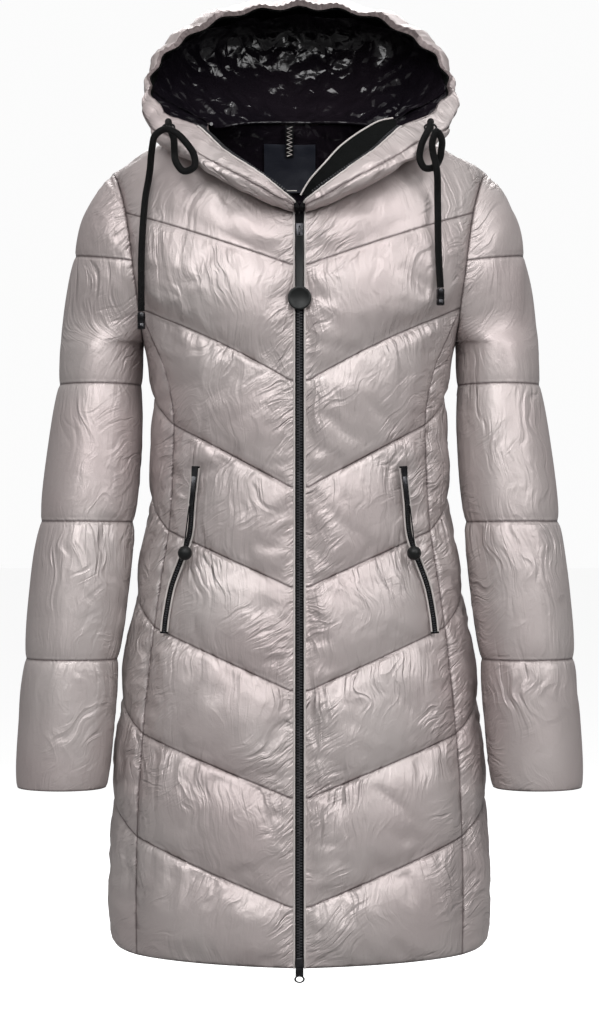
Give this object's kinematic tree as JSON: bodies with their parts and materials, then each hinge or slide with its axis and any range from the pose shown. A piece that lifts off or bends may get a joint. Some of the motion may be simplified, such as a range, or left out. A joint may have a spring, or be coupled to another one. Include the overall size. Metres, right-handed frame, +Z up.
{
  "type": "hooded quilted coat",
  "caption": "Thigh-length hooded padded coat in glossy taupe nylon, chevron quilted, with a black front zip, slanted zip pockets and black hood drawcords.",
  "frame": {"origin": "middle of the coat between the shoulder seams, where the wearer's shoulders carry it", "axes": "+Z up, -Y out of the front, +X towards the viewer's right as the front is seen"},
  "size_m": [0.614, 0.3022, 1.0722],
  "materials": {
    "shell": "glossy nylon, quilted",
    "lining": "black taffeta",
    "black_tape": "matte woven",
    "dark_metal": "dark satin",
    "dark_trim": "satin"
  },
  "bodies": {
    "coat": {"front_left": "shell", "front_right": "shell", "front_hem_left": "shell", "front_hem_right": "shell", "front_chest_left": "shell", "front_chest_right": "shell", "side_left": "shell", "side_right": "shell", "back": "shell", "sleeve_left": "shell", "sleeve_right": "shell", "hood": "shell", "flap_piping": "shell", "hood_lining": "lining", "hood_facing": "lining", "neck_lining": "lining", "wind_flap": "lining", "label": "black_tape", "hanging_loop": "black_tape", "zip_tape_left": "black_tape", "zip_tape_right": "black_tape", "pocket_zip_left": "black_tape", "pocket_zip_right": "black_tape", "drawcord_left": "black_tape", "drawcord_right": "black_tape", "zip_slider": "dark_metal", "zip_slider_low": "dark_metal", "pocket_slider_left": "dark_metal", "pocket_slider_right": "dark_metal", "cord_tip_left": "dark_metal", "cord_tip_right": "dark_metal", "eyelet_left": "dark_metal", "eyelet_right": "dark_metal"},
    "front_pull": {"zip_pull": "dark_trim"},
    "hem_pull": {"zip_ring_low": "dark_metal"},
    "pocket_pull_left": {"pocket_tab_left": "dark_metal", "pocket_cord_left": "black_tape", "pocket_ball_left": "dark_trim"},
    "pocket_pull_right": {"pocket_tab_right": "dark_metal", "pocket_cord_right": "black_tape", "pocket_ball_right": "dark_trim"}
  },
  "joints": [
    {"name": "front_pull_hinge", "type": "hinge", "parent": "coat", "child": "front_pull", "pos_m": [0, -0.1284, -0.0905], "axis": [-1, 0, 0], "range_deg": [0, 120]},
    {"name": "hem_pull_hinge", "type": "hinge", "parent": "coat", "child": "hem_pull", "pos_m": [0, -0.148, -0.859], "axis": [-1, 0, 0], "range_deg": [0, 120]},
    {"name": "pocket_pull_left_hinge", "type": "hinge", "parent": "coat", "child": "pocket_pull_left", "pos_m": [-0.1115, -0.111, -0.3438], "axis": [-1, 0, 0], "range_deg": [0, 110]},
    {"name": "pocket_pull_right_hinge", "type": "hinge", "parent": "coat", "child": "pocket_pull_right", "pos_m": [0.1115, -0.111, -0.3438], "axis": [-1, 0, 0], "range_deg": [0, 110]}
  ]
}
